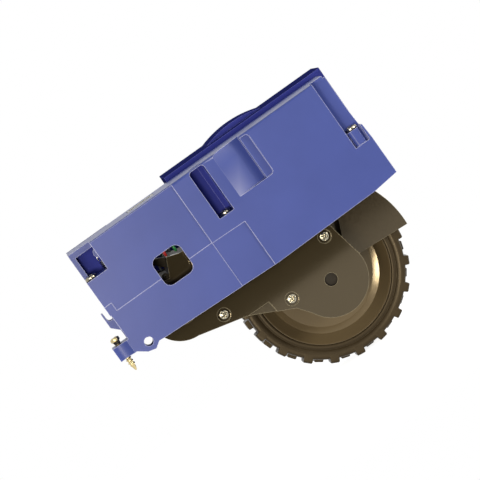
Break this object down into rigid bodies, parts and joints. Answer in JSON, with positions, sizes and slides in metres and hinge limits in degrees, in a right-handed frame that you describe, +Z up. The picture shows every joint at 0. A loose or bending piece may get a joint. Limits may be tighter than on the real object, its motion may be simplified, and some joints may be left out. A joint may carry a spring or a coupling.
{
  "type": "robot vacuum wheel module",
  "caption": "Drive wheel module of a robot vacuum: blue moulded housing, sprung arm that holds motor and gear train, and a lugged wheel under an arch.",
  "frame": {"origin": "centre of the locating hole at the front face of the housing", "axes": "+X along the housing towards the wheel end, +Y from the front wall to the wheel side, +Z up, away from the floor"},
  "size_m": [0.1301, 0.0568, 0.1067],
  "materials": {
    "housing_blue": "moulded, fine satin grain",
    "housing_dark_blue": "moulded, fine satin grain",
    "screw_steel": "zinc plated",
    "screw_yellow": "yellow zinc plated",
    "bush_bronze": "sintered",
    "spring_steel": "drawn wire",
    "black_plastic": "moulded",
    "contact_metal": "tinned",
    "button_red": "moulded",
    "lever_steel": "stamped strip",
    "socket_white": "moulded",
    "insulation_red": "extruded",
    "insulation_black": "extruded",
    "insulation_green": "extruded",
    "insulation_white": "extruded",
    "gearbox_brown": "moulded, fine satin grain",
    "gearbox_inner_brown": "moulded",
    "guard_black": "moulded",
    "bearing_steel": "ground",
    "axle_steel": "ground",
    "motor_steel": "deep drawn",
    "motor_cap_ivory": "moulded",
    "board_green": "solder mask",
    "gear_white": "acetal, moulded",
    "pinion_brass": "hobbed",
    "hub_brown": "moulded",
    "cap_brown": "moulded",
    "tyre_rubber": "moulded rubber"
  },
  "bodies": {
    "base": {"front_housing": "housing_blue", "rear_housing": "housing_dark_blue", "housing_screws": "screw_steel", "mounting_screws": "screw_steel", "bracket_screw": "screw_yellow", "front_bush": "bush_bronze", "rear_bush": "bush_bronze", "suspension_spring": "spring_steel", "switch_body": "black_plastic", "switch_terminals": "contact_metal", "connector_socket": "socket_white", "connector_pins": "contact_metal", "wire_red": "insulation_red", "wire_black": "insulation_black", "wire_green": "insulation_green", "wire_white": "insulation_white"},
    "arm": {"gearbox_cover": "gearbox_brown", "gearbox_case": "gearbox_inner_brown", "wheel_guard": "guard_black", "cover_screws": "screw_steel", "gear_pins": "axle_steel", "front_bearing": "bush_bronze", "rear_bearing": "bearing_steel", "motor_can": "motor_steel", "motor_end_cap": "motor_cap_ivory", "motor_screws": "screw_steel", "encoder_board": "board_green", "encoder_sensor": "black_plastic", "encoder_cap": "black_plastic"},
    "wheel": {"output_gear": "gear_white", "wheel_axle": "axle_steel", "wheel_hub": "hub_brown", "tyre": "tyre_rubber", "wheel_washer": "bearing_steel", "wheel_screw": "screw_steel", "hub_cap": "cap_brown"},
    "rotor": {"motor_shaft": "axle_steel", "motor_pinion": "pinion_brass", "encoder_disc": "black_plastic"},
    "gear_one": {"first_gear": "gear_white"},
    "gear_two": {"second_gear": "gear_white"},
    "gear_three": {"third_gear": "gear_white"},
    "lever": {"switch_lever": "lever_steel"},
    "plunger": {"switch_plunger": "button_red"}
  },
  "joints": [
    {"name": "arm_pivot", "type": "hinge", "parent": "base", "child": "arm", "pos_m": [0.0173, 0.02, 0.0027], "axis": [0, -1, 0], "range_deg": [0, 27], "stiffness_Nm_per_rad": 0.25, "springref_deg": -34.38, "deforming": ["suspension_spring", "wire_red", "wire_black", "wire_green", "wire_white"]},
    {"name": "wheel_spin", "type": "hinge", "parent": "arm", "child": "wheel", "pos_m": [0.07118, 0.04, -0.02277], "axis": [0, -1, 0], "continuous": true},
    {"name": "third_gear_spin", "type": "hinge", "parent": "arm", "child": "gear_three", "pos_m": [0.06323, 0.022, -0.00763], "axis": [0, -1, 0], "continuous": true},
    {"name": "second_gear_spin", "type": "hinge", "parent": "arm", "child": "gear_two", "pos_m": [0.04879, 0.02, 0.00095], "axis": [0, -1, 0], "continuous": true},
    {"name": "first_gear_spin", "type": "hinge", "parent": "arm", "child": "gear_one", "pos_m": [0.03108, 0.015, 0.00515], "axis": [0, -1, 0], "continuous": true},
    {"name": "rotor_spin", "type": "hinge", "parent": "arm", "child": "rotor", "pos_m": [0.0173, 0.03, 0.0027], "axis": [0, -1, 0], "continuous": true},
    {"name": "lever_swing", "type": "hinge", "parent": "base", "child": "lever", "pos_m": [0.0081, 0.0217, 0.0336], "axis": [0, 1, 0], "range_deg": [0, 34]},
    {"name": "plunger_press", "type": "slide", "parent": "base", "child": "plunger", "axis": [-1, 0, 0], "range_m": [0, 0.0007]}
  ],
  "couplings": [
    {"joint": "third_gear_spin", "follows": "wheel_spin", "ratio": -2.1667},
    {"joint": "second_gear_spin", "follows": "wheel_spin", "ratio": 4.8333},
    {"joint": "first_gear_spin", "follows": "wheel_spin", "ratio": -16.111},
    {"joint": "rotor_spin", "follows": "wheel_spin", "ratio": 59.074},
    {"joint": "lever_swing", "follows": "arm_pivot", "ratio": 1.2593},
    {"joint": "plunger_press", "follows": "arm_pivot", "m_per_rad": 0.0014854}
  ]
}
